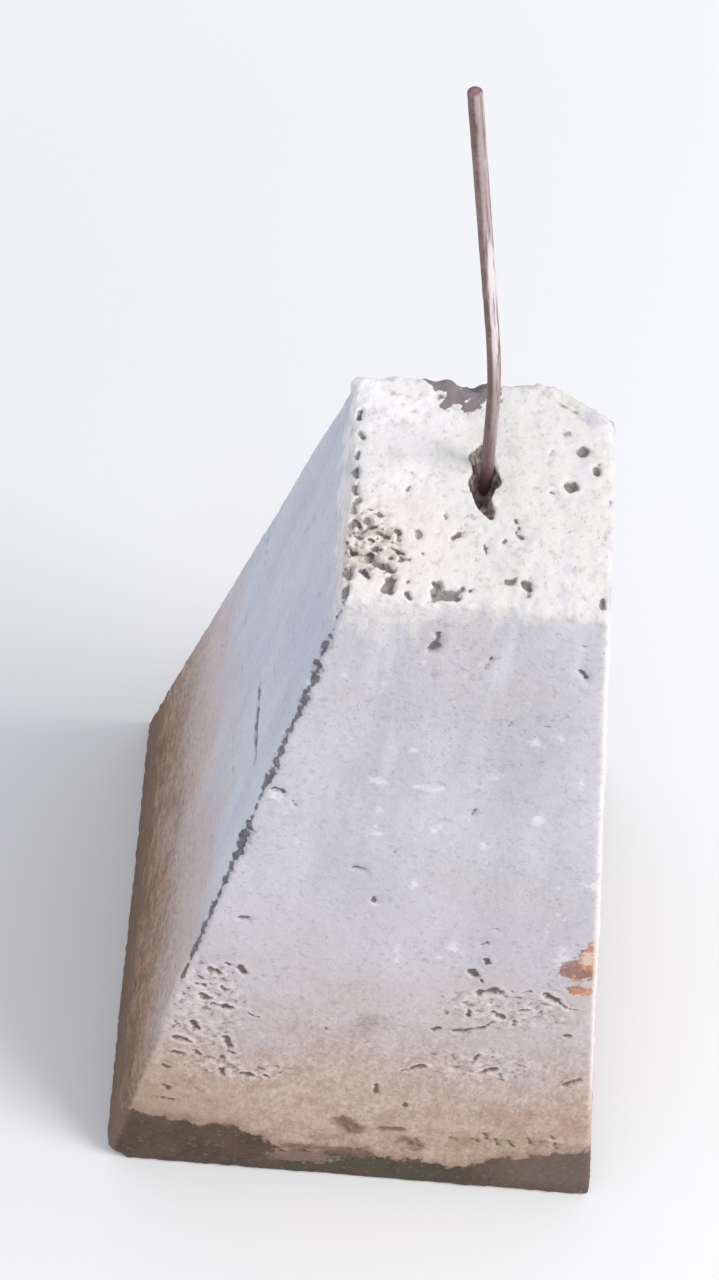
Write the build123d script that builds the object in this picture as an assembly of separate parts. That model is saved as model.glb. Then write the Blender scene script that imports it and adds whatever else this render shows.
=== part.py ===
from build123d import *
import math
import os

# Concrete pier block with a tie bar, in millimetres.
# +Z is up, the front is -Y, and the origin is the centre of the base.

# Concrete casting: height is the level of the four corners of the top
base_width = 300.0
top_width = 120.0
height = 550.0
arris_radius = 4.0
base_edge_radius = 3.0
top_edge_radius = 4.0

# The top is struck off by hand: its middle stands proud and its right side is a little higher
top_crown = 8.0
top_out_of_level = 1.5

# Tie bar: a plain round bar that leaves the top near its middle and leans to the left
bar_diameter = 6.0
bar_foot_x = 2.0
bar_foot_y = 11.0
bar_heading = 172.0
bar_foot_angle = 5.3
bar_bend_angle = 5.8
bar_bend_level = 79.0
bar_bend_radius = 600.0
bar_exposed = 254.0
bar_embedded = 300.0
bar_end_chamfer = 0.4

# Hollow that the concrete left open at the foot of the bar: a teardrop with its point towards
# the front, narrower at its floor, and a shallow lobe behind its left side
pocket_width = 14.0
pocket_reach = 20.0
pocket_ahead = 4.5
pocket_point = 4.0
pocket_depth = 24.0
pocket_floor_share = 0.6
pocket_turn = -76.0
lobe_radius = 6.0
lobe_bite = 4.5
lobe_aside = 6.0
lobe_behind = 9.5

# Corner broken off at the back right of the top: how far the break runs along each edge
break_along_back = 34.0
break_along_side = 15.0
break_down = 32.0
break_radius = 900.0

# Shallow spall in the back edge of the top, to the left of the bar
back_spall_x = -15.0
back_spall_radius = 26.0
back_spall_bite = 6.0

# Spalls down the front left arris: drop below the top's corner, radius of the break, bite
arris_spalls = [
    (28.0, 16.0, 3.0),
    (58.0, 20.0, 5.0),
    (86.0, 18.0, 4.0),
    (133.0, 24.0, 4.0),
    (164.0, 14.0, 2.5),
    (195.0, 17.0, 5.0),
    (246.0, 22.0, 3.5),
    (298.0, 20.0, 2.5),
]
arris_spall_turn = 12.0

# Worn corner at the front left of the base
worn_foot_radius = 70.0
worn_foot_bite = 11.0

bar_radius = bar_diameter / 2
crown_level = height + top_crown
edge_level = height + top_crown / 2


def half_width(level):
    """Half of the block's width at a height above the base."""
    return (base_width - (base_width - top_width) * level / height) / 2


def arris_point(side_x, side_y, level):
    """Point on a sloping arris: side_x and side_y are -1 or 1."""
    return Vector(side_x * half_width(level), side_y * half_width(level), level)


def bite_ball(point, inward, radius, bite):
    """Ball that bites a given depth into the block, inward from a point on its edge."""
    return Pos(point - inward.normalized() * (radius - bite)) * Sphere(radius)


def ball_through(a, b, c, outward, radius):
    """Ball whose surface passes through three points, with its centre on the outward side."""
    ab = b - a
    ac = c - a
    normal = ab.cross(ac)
    to_middle = normal.cross(ab) * ac.dot(ac) + ac.cross(normal) * ab.dot(ab)
    middle = a + to_middle * (1 / (2 * normal.dot(normal)))
    rise = math.sqrt(radius ** 2 - (middle - a).length ** 2)
    side = 1 if normal.dot(outward) > 0 else -1
    return Pos(middle + normal.normalized() * (side * rise)) * Sphere(radius)


def struck_off():
    """Waste above the top: what lies outside a large ball through the top's four corners."""
    half_diagonal = top_width / math.sqrt(2)
    crown_radius = (half_diagonal ** 2 + top_crown ** 2) / (2 * top_crown)
    reach = top_width
    reach_level = crown_level - crown_radius + math.sqrt(crown_radius ** 2 - reach ** 2)
    with BuildSketch(Plane.XZ) as section:
        with BuildLine():
            ThreePointArc((0, crown_level), (half_diagonal, height), (reach, reach_level))
            Polyline((reach, reach_level), (reach, over_level), (0, over_level), (0, crown_level))
        make_face()
    level_turn = Pos(0, 0, height) * Rot(0, -top_out_of_level, 0) * Pos(0, 0, -height)
    return level_turn * revolve(section.sketch, Axis.Z)


def tapered_body():
    """Frustum of a square pyramid with rounded arrises and a crowned top."""
    draft = math.degrees(math.atan((base_width - top_width) / (2 * height)))
    frustum = extrude(Rectangle(base_width, base_width), over_level - top_crown, taper=draft)
    sloping = frustum.edges().filter_by(lambda edge: edge.bounding_box().size.Z > height / 2)
    return fillet(sloping, arris_radius) - struck_off()


def rounded_edges(body):
    """Round the edge of the base and the worn edge of the top."""
    foot_edges = body.faces().sort_by(Axis.Z)[0].edges()
    body = fillet(foot_edges, base_edge_radius)
    top_edges = body.faces().sort_by(Axis.Z)[-1].edges()
    return fillet(top_edges, top_edge_radius)


def bar_run(lean):
    """Unit vector along a run of the bar that leans from the vertical."""
    heading = math.radians(bar_heading)
    tilt = math.radians(lean)
    flat = math.sin(tilt)
    return Vector(flat * math.cos(heading), flat * math.sin(heading), math.cos(tilt))


def bar_path():
    """Centreline of the bar: straight in the concrete, one gentle bend, straight to its free end."""
    lower = bar_run(bar_foot_angle)
    upper = bar_run(bar_foot_angle + bar_bend_angle)
    corner = bar_foot + lower * bar_bend_level
    tangent_length = bar_bend_radius * math.tan(math.radians(bar_bend_angle) / 2)
    bend_start = corner - lower * tangent_length
    bend_end = corner + upper * tangent_length
    buried = Line(bar_foot - lower * bar_embedded, bend_start)
    bend = TangentArc(bend_start, bend_end, tangent=lower)
    free = Line(bend_end, corner + upper * (bar_exposed - bar_bend_level))
    return Wire([buried, bend, free])


def tie_bar():
    """Plain round bar swept along its path, with its sheared end slightly chamfered."""
    path = bar_path()
    section = Plane(origin=path @ 0, z_dir=path % 0) * Circle(bar_radius)
    bar = sweep(section, path=path)
    free_edges = bar.faces().sort_by(Axis.Z)[-1].edges()
    return chamfer(free_edges, bar_end_chamfer)


def teardrop(share):
    """Outline of the hollow at the bar's foot, at a share of its size at the mouth."""
    wide_end = Circle(share * pocket_width / 2)
    point = Pos(share * pocket_reach, 0) * Circle(share * pocket_point / 2)
    return make_hull(wide_end.edges() + point.edges())


def foot_pocket():
    """Tapered teardrop and shallow lobe that the concrete left open at the foot of the bar."""
    middle = bar_foot - Vector(0, pocket_ahead, 0)
    mouth = Pos(middle + Vector(0, 0, top_crown)) * Rot(0, 0, pocket_turn)
    floor = Pos(middle - Vector(0, 0, pocket_depth)) * Rot(0, 0, pocket_turn)
    hollow = loft([mouth * teardrop(1.0), floor * teardrop(pocket_floor_share)])
    lobe_place = bar_foot + Vector(-lobe_aside, lobe_behind, top_crown)
    return hollow + bite_ball(lobe_place, Vector(0, 0, -1), lobe_radius, lobe_bite)


def broken_corner():
    """Ball whose surface is the break at the back right corner of the top."""
    rim = half_width(edge_level)
    on_back = Vector(rim - break_along_back, rim, edge_level)
    on_side = Vector(rim, rim - break_along_side, edge_level)
    below = arris_point(1, 1, height - break_down)
    return ball_through(on_back, on_side, below, Vector(1, 1, 1), break_radius)


def edge_spalls():
    """Balls that break the back edge of the top, the front left arris and a corner of the base."""
    back_point = Vector(back_spall_x, half_width(edge_level), edge_level)
    balls = [bite_ball(back_point, Vector(0, -1, -1), back_spall_radius, back_spall_bite)]
    across = math.radians(45 - arris_spall_turn)
    inward = Vector(math.cos(across), math.sin(across), 0)
    for drop, radius, bite in arris_spalls:
        point = arris_point(-1, -1, height - drop)
        balls.append(bite_ball(point, inward, radius, bite))
    balls.append(bite_ball(arris_point(-1, -1, 0), Vector(1, 1, 1), worn_foot_radius, worn_foot_bite))
    return balls


over_level = height + 3 * top_crown
bar_foot = Vector(bar_foot_x, bar_foot_y, height)

bar = tie_bar()
block = rounded_edges(tapered_body())
for cut in [foot_pocket(), broken_corner(), *edge_spalls(), bar]:
    block = block - cut

os.makedirs("parts", exist_ok=True)
for name, piece in (("concrete_block", block), ("tie_bar", bar)):
    export_step(piece, "parts/" + name + ".step")
    print(name, "volume", round(piece.volume), "mm3, sound:", piece.is_valid)
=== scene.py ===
# %% [markdown]
# # A cast concrete block with a tie bar
#
# The block is a tapered lump of concrete, cast upright in a square mould and left outdoors.
# A bent, rusty bar stands in its crowned top. This lesson models both pieces by hand, with
# Blender's edit-mode operators and modifiers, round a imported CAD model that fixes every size.

# %% The frame that everything is built round
from functools import partialmethod
from math import atan, cos, radians, sin, tan

import bmesh
import bpy
import numpy as np
from mathutils import Matrix, Vector, noise


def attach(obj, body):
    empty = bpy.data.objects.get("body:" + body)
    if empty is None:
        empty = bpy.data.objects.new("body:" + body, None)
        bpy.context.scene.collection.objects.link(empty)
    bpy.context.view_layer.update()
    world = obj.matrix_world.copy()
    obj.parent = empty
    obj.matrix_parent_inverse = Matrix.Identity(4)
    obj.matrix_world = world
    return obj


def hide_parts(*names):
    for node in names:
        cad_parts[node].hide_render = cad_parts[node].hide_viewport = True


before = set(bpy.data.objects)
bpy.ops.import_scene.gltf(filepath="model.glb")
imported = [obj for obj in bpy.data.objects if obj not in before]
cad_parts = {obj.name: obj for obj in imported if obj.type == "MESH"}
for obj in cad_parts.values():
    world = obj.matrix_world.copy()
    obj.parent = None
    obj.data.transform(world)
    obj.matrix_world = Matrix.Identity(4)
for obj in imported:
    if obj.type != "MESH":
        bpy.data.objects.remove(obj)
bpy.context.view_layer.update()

# %% [markdown]
# ## The camera
#
# The block is seen from above and from its left, with the camera a little rolled, as a person
# holds it. A long lens, aimed at the block's middle, needs no shift, so the same camera also
# works when it is moved round the object. The roll is set by building the three axes of the
# camera: its right side is lifted by nearly twelve degrees.

# %% Camera
camera_place = Vector((-0.12073, -0.61899, 1.51689))
camera_target = Vector((-0.04065, 0.00521, 0.39762))
camera_roll = radians(11.732)
camera_lens = 71.27

look = (camera_target - camera_place).normalized()
level_right = look.cross(Vector((0, 0, 1))).normalized()
level_up = level_right.cross(look)
rolled_right = level_right * cos(camera_roll) + level_up * sin(camera_roll)
rolled_up = level_up * cos(camera_roll) - level_right * sin(camera_roll)

camera_data = bpy.data.cameras.new("camera")
camera_data.lens = camera_lens
camera_data.sensor_width = 36
camera_data.clip_start = 0.02
camera = bpy.data.objects.new("camera", camera_data)
bpy.context.scene.collection.objects.link(camera)
turn = Matrix((rolled_right, rolled_up, -look)).transposed()
camera.matrix_world = Matrix.Translation(camera_place) @ turn.to_4x4()
bpy.context.scene.camera = camera
print("camera", tuple(round(v, 3) for v in camera_place), "lens", camera_lens)

# %% [markdown]
# ## Small helpers for modelling by hand
#
# An edit-mode operator works on whatever is selected. These helpers do what the mouse would:
# they take one object into edit mode with nothing picked, pick faces or vertices by a test on
# their place, and go back to object mode. A modifier is always applied at once.

# %% Helpers: select, edit, apply
def only(obj):
    bpy.ops.object.select_all(action="DESELECT")
    obj.select_set(True)
    bpy.context.view_layer.objects.active = obj


def edit(obj, mode="FACE", picked="DESELECT"):
    only(obj)
    bpy.ops.object.mode_set(mode="EDIT")
    bpy.ops.mesh.select_mode(type=mode)
    bpy.ops.mesh.select_all(action=picked)


def leave():
    bpy.ops.object.mode_set(mode="OBJECT")


def pick(obj, kind, test):
    """Selects the vertices or faces that pass the test, and nothing else."""
    bpy.ops.mesh.select_all(action="DESELECT")
    for part in getattr(bmesh.from_edit_mesh(obj.data), kind):
        if test(part):
            part.select_set(True)
    bmesh.update_edit_mesh(obj.data)


def apply(obj, kind, **settings):
    only(obj)
    modifier = obj.modifiers.new(kind.lower(), kind)
    for name, value in settings.items():
        setattr(modifier, name, value)
    bpy.ops.object.modifier_apply(modifier=modifier.name)


def settle(obj):
    only(obj)
    bpy.ops.object.transform_apply(location=True, rotation=True, scale=True)


# %% [markdown]
# ## The tapered body
#
# The mould is a square funnel turned upside down, so the body is a cube whose top face is
# scaled down. The top was struck off by hand and stands proud in the middle. Proportional
# editing lifts the middle vertex and carries its neighbours with it: the inverse square
# falloff is a parabola, which is the shape of a shallow dome. The top is also a little out of
# level, so it is turned a little, and it has a lump on its back edge.

# %% Tapered body
base_width = 0.300
top_width = 0.120
height = 0.550
top_crown = 0.008
top_out_of_level = radians(1.5)
top_cells = 16
top_faces_above = height - 1e-4
lump_place, lump_rise, lump_reach = Vector((0.0225, 0.060)), 0.0025, 0.016

bpy.ops.mesh.primitive_cube_add(size=1, location=(0, 0, height / 2))
block = bpy.context.object
block.name = "cast_block"
block.scale = (base_width, base_width, height)
settle(block)

edit(block)
pick(block, "faces", lambda f: f.normal.z > 0.9)
bpy.ops.transform.resize(
    value=(top_width / base_width, top_width / base_width, 1),
    center_override=(0, 0, height))
bpy.ops.mesh.subdivide(number_cuts=top_cells - 1)

bpy.ops.mesh.select_mode(type="VERT")
pick(block, "verts", lambda v: v.co.z > top_faces_above and v.co.xy.length < 1e-4)
bpy.ops.transform.translate(
    value=(0, 0, top_crown), use_proportional_edit=True,
    proportional_edit_falloff="INVERSE_SQUARE", proportional_size=top_width / 2 ** 0.5)
pick(block, "verts", lambda v: v.co.z > top_faces_above
     and (v.co.xy - lump_place).length < 0.002)
bpy.ops.transform.translate(
    value=(0, 0, lump_rise), use_proportional_edit=True,
    proportional_edit_falloff="SMOOTH", proportional_size=lump_reach)
pick(block, "verts", lambda v: v.co.z > top_faces_above)
bpy.ops.transform.rotate(value=top_out_of_level, orient_axis="Y",
                         center_override=(0, 0, height))
leave()
top_heights = [v.co.z for v in block.data.vertices if v.co.z > height / 2]
print("top from", min(top_heights), "to", max(top_heights))

# %% [markdown]
# Cast edges are never sharp: the mould's corners are a few millimetres round, and the edges
# weather. A bevel on every sharp edge gives that radius.

# %% Rounded edges
edge_radius, sharp_angle = 0.003, radians(40)
edit(block, "EDGE")
bpy.ops.mesh.edges_select_sharp(sharpness=sharp_angle)
bpy.ops.mesh.bevel(offset=edge_radius, segments=3, affect="EDGES")
leave()
print("body faces", len(block.data.polygons))

# %% [markdown]
# ## Breaks and spalls
#
# Concrete breaks like stone, along rough curved faces. The back right corner of the top is
# gone: one slanted cut takes it off, and its roughness comes later. Smaller pieces have come
# off the edges. Each is a lumpy ball, sunk a few millimetres into the edge and subtracted
# with a Boolean. The ball starts as an icosphere and a cloud texture makes it uneven.

# %% Broken corner
def half_width(z):
    return (base_width - (base_width - top_width) * z / height) / 2


break_on_back = Vector((0.026, 0.060, height + 0.0055))
break_on_side = Vector((0.0605, 0.045, height + 0.0035))
break_foot = 0.518
break_below = Vector((half_width(break_foot), half_width(break_foot), break_foot))
break_normal = (break_on_side - break_on_back).cross(break_below - break_on_back).normalized()
if break_normal.dot(Vector((1, 1, 0))) < 0:
    break_normal.negate()

edit(block, picked="SELECT")
bpy.ops.mesh.bisect(plane_co=break_on_back, plane_no=break_normal,
                    use_fill=True, clear_outer=True)
leave()
print("the break faces", tuple(round(v, 2) for v in break_normal))


# %% [markdown]
# A spall is the shallow dish that a blow or frost leaves. A ball with a cloud-textured surface
# cuts such a dish: the deeper it is sunk in, the larger the bite. Sculpting would look as
# good, but a ball is placed along an edge by number and gives the same result every time.

# %% Lumpy balls that cut the spalls
def clouds(name, scale, depth=2):
    """A cloud texture with lumps of about that scale, and finer ones at each further depth."""
    texture = bpy.data.textures.get(name) or bpy.data.textures.new(name, "CLOUDS")
    texture.noise_scale = scale
    texture.noise_depth = depth
    return texture


def cut_ball(place, radius, stretch=(1, 1, 1), lumps=0.35):
    bpy.ops.mesh.primitive_ico_sphere_add(subdivisions=4, radius=radius, location=place)
    ball = bpy.context.object
    edit(ball, picked="SELECT")
    bpy.ops.transform.resize(value=stretch, center_override=place)
    leave()
    apply(ball, "DISPLACE", texture=clouds("lumps", radius * 0.45), mid_level=0.5,
          strength=radius * lumps, texture_coords="GLOBAL")
    apply(block, "BOOLEAN", operation="DIFFERENCE", object=ball, solver="EXACT")
    bpy.data.objects.remove(ball)


def arris_point(z):
    return Vector((-half_width(z), -half_width(z), z))


# drop below the top, ball radius and bite into the front left arris
arris_spalls = ((0.036, 0.010, 0.0030), (0.052, 0.011, 0.0042), (0.063, 0.009, 0.0030),
                (0.078, 0.012, 0.0033), (0.135, 0.011, 0.0024), (0.147, 0.009, 0.0022),
                (0.190, 0.012, 0.0038), (0.203, 0.011, 0.0034), (0.232, 0.011, 0.0018))
outward = Vector((-1, -1, 0.23)).normalized()
for drop, radius, bite in arris_spalls:
    cut_ball(arris_point(height - drop) + outward * (radius - bite), radius,
             stretch=(0.9, 0.9, 1.35))

# place along the top's back edge, ball radius and bite
back_spalls = ((-0.022, 0.012, 0.0045), (-0.010, 0.016, 0.0060), (-0.002, 0.011, 0.0040))
back_edge = (0.060, height + 0.005)
for x, radius, bite in back_spalls:
    cut_ball(Vector((x, *back_edge)) + Vector((0, 0.7, 0.7)) * (radius - bite), radius,
             stretch=(1.2, 1, 1))

foot_radius, foot_bite = 0.070, 0.011
foot_corner = Vector((-base_width / 2, -base_width / 2, 0))
cut_ball(foot_corner + Vector((-1, -1, -1)).normalized() * (foot_radius - foot_bite),
         foot_radius, lumps=0.08)
print("faces after the spalls", len(block.data.polygons))

# %% [markdown]
# ## The hollow at the bar
#
# Where the bar comes out, the concrete has broken away into a ragged hollow shaped like a drop,
# with its point towards the front. Its rim is drawn as one outline, a circle whose vertices are
# pulled to their places, and extruded down with a smaller floor. A voxel remesh and cloud
# lumps make that plug ragged before it is cut out. Then one lumpy ball deepens the hollow's
# left side, and one the place round the bar.

# %% Hollow round the bar
# the rim in millimetres, from the back down the left side to the point at the front
hollow_rim = ((-1.6, 26.6), (-8.6, 17.6), (-5.3, 9.5), (-7.2, 2.7), (-5.5, -3.0), (-3.8, -8.0),
              (-0.2, -13.5), (5.0, -17.0), (5.8, -14.4), (3.6, -8.0), (3.8, -2.9), (5.5, -0.5),
              (7.9, 4.8), (6.4, 10.0), (4.8, 15.0), (3.0, 23.0))
hollow_top, hollow_middle = height + 0.007, (-0.001, 0.003, height)
plug_above, plug_radius, plug_lumps = 0.006, 0.030, 0.0026
# how far down each step of the plug goes, and how much of its width is left there
plug_steps = ((0.0085, 0.96), (0.0050, 0.70))
plug_voxel = 0.0006
# place, radius and stretch of the two balls
deeper_balls = (((-0.0026, -0.0005, hollow_top - 0.007), 0.0044, (0.75, 1.7, 1.7)),
                ((0.0006, 0.0060, hollow_top - 0.009), 0.0060, (0.85, 1.15, 1.8)))

bpy.ops.mesh.primitive_circle_add(vertices=len(hollow_rim), radius=plug_radius,
                                  fill_type="NGON", location=(0, 0, hollow_top + plug_above))
plug = bpy.context.object
settle(plug)
corners = [v.co.copy() for v in plug.data.vertices]
for corner, (across, along) in zip(corners, hollow_rim):
    edit(plug, "VERT")
    pick(plug, "verts", lambda v: (v.co - corner).length < 1e-6)
    bpy.ops.transform.translate(value=(across / 1000 - corner.x, along / 1000 - corner.y, 0))
    leave()
edit(plug, picked="SELECT")
for drop, share in plug_steps:
    bpy.ops.mesh.extrude_region_move(TRANSFORM_OT_translate={"value": (0, 0, -drop)})
    bpy.ops.transform.resize(value=(share, share, 1), center_override=hollow_middle)
bpy.ops.mesh.select_all(action="SELECT")
bpy.ops.mesh.normals_make_consistent(inside=False)
leave()
apply(plug, "REMESH", mode="VOXEL", voxel_size=plug_voxel)
apply(plug, "DISPLACE", texture=clouds("hollow_crumbs", plug_lumps, 3), mid_level=0.5,
      strength=plug_lumps, texture_coords="GLOBAL")
apply(block, "BOOLEAN", operation="DIFFERENCE", object=plug, solver="EXACT")
bpy.data.objects.remove(plug)
for place, radius, stretch in deeper_balls:
    cut_ball(Vector(place), radius, stretch=stretch, lumps=0.55)
print("faces after the hollow", len(block.data.polygons))

# %% [markdown]
# ## A skin fine enough to carve
#
# Relief needs vertices. A voxel remesh turns the body into one even, closed skin of small
# squares, whatever its faces were before. Everything from here on moves that skin in or out.

# %% Voxel skin
voxel = 0.0010
apply(block, "REMESH", mode="VOXEL", voxel_size=voxel, use_smooth_shade=True)
print("skin vertices", len(block.data.vertices))


# %% [markdown]
# ## Where things are on the skin
#
# Each vertex is measured: how far it lies below the front, left, right and back faces and the
# top, and how far above the base. Weights for the modifiers are then plain formulas in those
# distances. A weight goes into a vertex group, as weight painting would put it there.

# %% Measures of the skin
def vertex_places(obj):
    places = np.zeros(len(obj.data.vertices) * 3, np.float32)
    obj.data.vertices.foreach_get("co", places)
    return places.reshape(-1, 3).astype(float)


lean = atan((base_width - top_width) / 2 / height)


def crown_height(x, y):
    rise = top_crown * np.clip(1 - (x * x + y * y) / (top_width ** 2 / 2), 0, 1)
    return height + rise + x * tan(top_out_of_level)


def depths(p):
    """Depth below each face, in metres."""
    x, y, z = p.T
    half, square = half_width(z), cos(lean)
    return {"front": (half + y) * square, "back": (half - y) * square,
            "left": (half + x) * square, "right": (half - x) * square,
            "top": crown_height(x, y) - z, "base": z}


def smooth(value, low, high):
    t = np.clip((value - low) / (high - low), 0, 1)
    return t * t * (3 - 2 * t)


def within(distance, full, none):
    """1 up to the full distance, then softly down to 0 at the other one."""
    return smooth(-distance, -none, -full)


def grain(p, scale, seed=0.0):
    """Soft random values from -1 to 1, the same every time."""
    shift = Vector((seed * 7.31, seed * 3.17, seed * 5.77))
    return np.array([noise.noise(Vector(q) / scale + shift) for q in p])


def weigh(name, weights):
    """Puts the weights, from 0 to 1, into a vertex group of the block."""
    group = block.vertex_groups.new(name=name)
    steps = np.round(np.clip(weights, 0, 1) * 100).astype(int)
    for step in range(1, 101):
        chosen = np.nonzero(steps == step)[0]
        if len(chosen):
            group.add(chosen.tolist(), step / 100, "REPLACE")
    print("group", name, "holds", int((steps > 0).sum()), "vertices")


def relief(group, texture, strength, middle_level=0.5):
    """Moves a group of the block's skin, by a texture or, without one, all alike."""
    apply(block, "DISPLACE", vertex_group=group, texture=texture, strength=strength,
          mid_level=middle_level, texture_coords="LOCAL")


# %% [markdown]
# ## Waves and sand
#
# A mould of thin sheet bulges, so a cast face is never flat: two gentle cloud layers give the
# faces waves of less than a millimetre. The top has no mould. It was filled and patted down,
# and is lumpy at several scales.

# %% Waves over the whole skin, lumps on the top
skin = vertex_places(block)
deep = depths(skin)
on_top = within(deep["top"], 0.001, 0.006) * smooth(skin[:, 2], 0.53, 0.545)
weigh("top", on_top)
weigh("upright", smooth(deep["base"], 0.0005, 0.004))
back_rim = within(np.maximum(deep["top"], deep["back"]), 0.002, 0.010)
weigh("back_rim", back_rim * within(skin[:, 0], 0.024, 0.040))
relief("upright", clouds("waves", 0.090, 1), 0.0014)
relief("upright", clouds("ripples", 0.022), 0.0006)
relief("back_rim", clouds("rim_lumps", 0.013, 3), 0.0040, 0.10)
relief("top", clouds("top_lumps", 0.024), 0.0026)
relief("top", clouds("top_crumbs", 0.0075, 3), 0.0010)
relief("top", clouds("top_grit", 0.0030), 0.0004)

# %% [markdown]
# ## Worn and crumbled edges
#
# The edges lose grains first. Vertices near an edge sink by a random amount, strongest on the
# round the top. The front left arris is broken along a strip whose width comes and goes, and
# the broken corner has coarse lumps, since a fracture runs round the stones.

# %% Crumbled edges and rough breaks
def nearness_to_edge(d, a, b, reach):
    return within(np.maximum(d[a], d[b]), reach * 0.3, reach)


# how wide the front left arris is broken, at levels from the foot to the top
broken_levels = (0.085, 0.150, 0.205, 0.232, 0.262, 0.290, 0.325, 0.336, 0.345, 0.355, 0.366,
                 0.372, 0.385, 0.397, 0.405, 0.415, 0.425, 0.442, 0.456, 0.464, 0.478, 0.483,
                 0.488, 0.498, 0.503, 0.508, 0.513, 0.518, 0.523, 0.535, 0.548)
broken_widths = (0.3, 0.5, 0.9, 1.8, 2.2, 2.4, 2.6, 3.0, 4.8, 5.4, 4.4,
                 2.2, 1.7, 1.9, 3.2, 3.4, 3.0, 2.6, 2.6, 4.0, 4.4, 2.4,
                 4.0, 4.8, 2.0, 2.0, 4.0, 3.6, 2.0, 1.8, 1.8)


def arris_broken(p, d):
    """1 on the broken strip of the front left arris, 0 well away from it."""
    width = np.interp(p[:, 2], broken_levels, broken_widths) / 1000
    away = np.maximum(d["front"], d["left"])
    near = (away < 0.014) & (p[:, 2] > 0.08)
    away = np.where(near, away, 1.0)
    ragged = np.zeros(len(p))
    ragged[near] = 0.0026 * grain(p[near], 0.0060, 7) + 0.0018 * grain(p[near], 0.0024, 8)
    return smooth(width - away - ragged * np.clip((width - 0.0018) / 0.0035, 0.10, 1.0),
                  -0.0010, 0.0010)


arris_reach, arris_wear, rim_reach, rim_wear, widest_break = 0.0055, 0.45, 0.007, 0.7, 6.5
arrises = (("front", "left"), ("front", "right"), ("back", "left"), ("back", "right"))
arris = np.max([nearness_to_edge(deep, a, b, arris_reach) for a, b in arrises], axis=0)
rim = np.max([nearness_to_edge(deep, "top", side, rim_reach)
              for side in ("front", "left", "right", "back")], axis=0)
weigh("edges", np.maximum(arris * arris_wear, rim * rim_wear))
relief("edges", clouds("edge_crumbs", 0.006, 3), 0.0024, 0.62)
strip = arris_broken(skin, deep)
weigh("strip", strip * np.interp(skin[:, 2], broken_levels, broken_widths) / widest_break)
relief("strip", clouds("strip_crumbs", 0.0045, 3), 0.0044, 1.0)

break_depth = (skin - np.array(break_on_back)) @ np.array(break_normal)
broken = smooth(break_depth, -0.004, -0.0015)
for x, radius, bite in back_spalls:
    away = np.linalg.norm(skin - np.array((x, *back_edge)), axis=1)
    broken = np.maximum(broken, within(away, radius * 0.6, radius * 0.95))
weigh("breaks", broken)
relief("breaks", clouds("stones", 0.011, 3), 0.0062, 0.36)
relief("breaks", clouds("stone_grit", 0.0035), 0.0012)

# %% [markdown]
# ## Pits, cracks and chips
#
# Air bubbles and loose mortar leave holes, and this block has some large ones worth placing
# one by one. Each mark is a short stroke on one face: two ends, a half width and a depth, in
# millimetres. A vertex that lies inside a stroke, with its edge made ragged by noise, gets a
# weight, and one Displace modifier pushes all the marks in.

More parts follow.
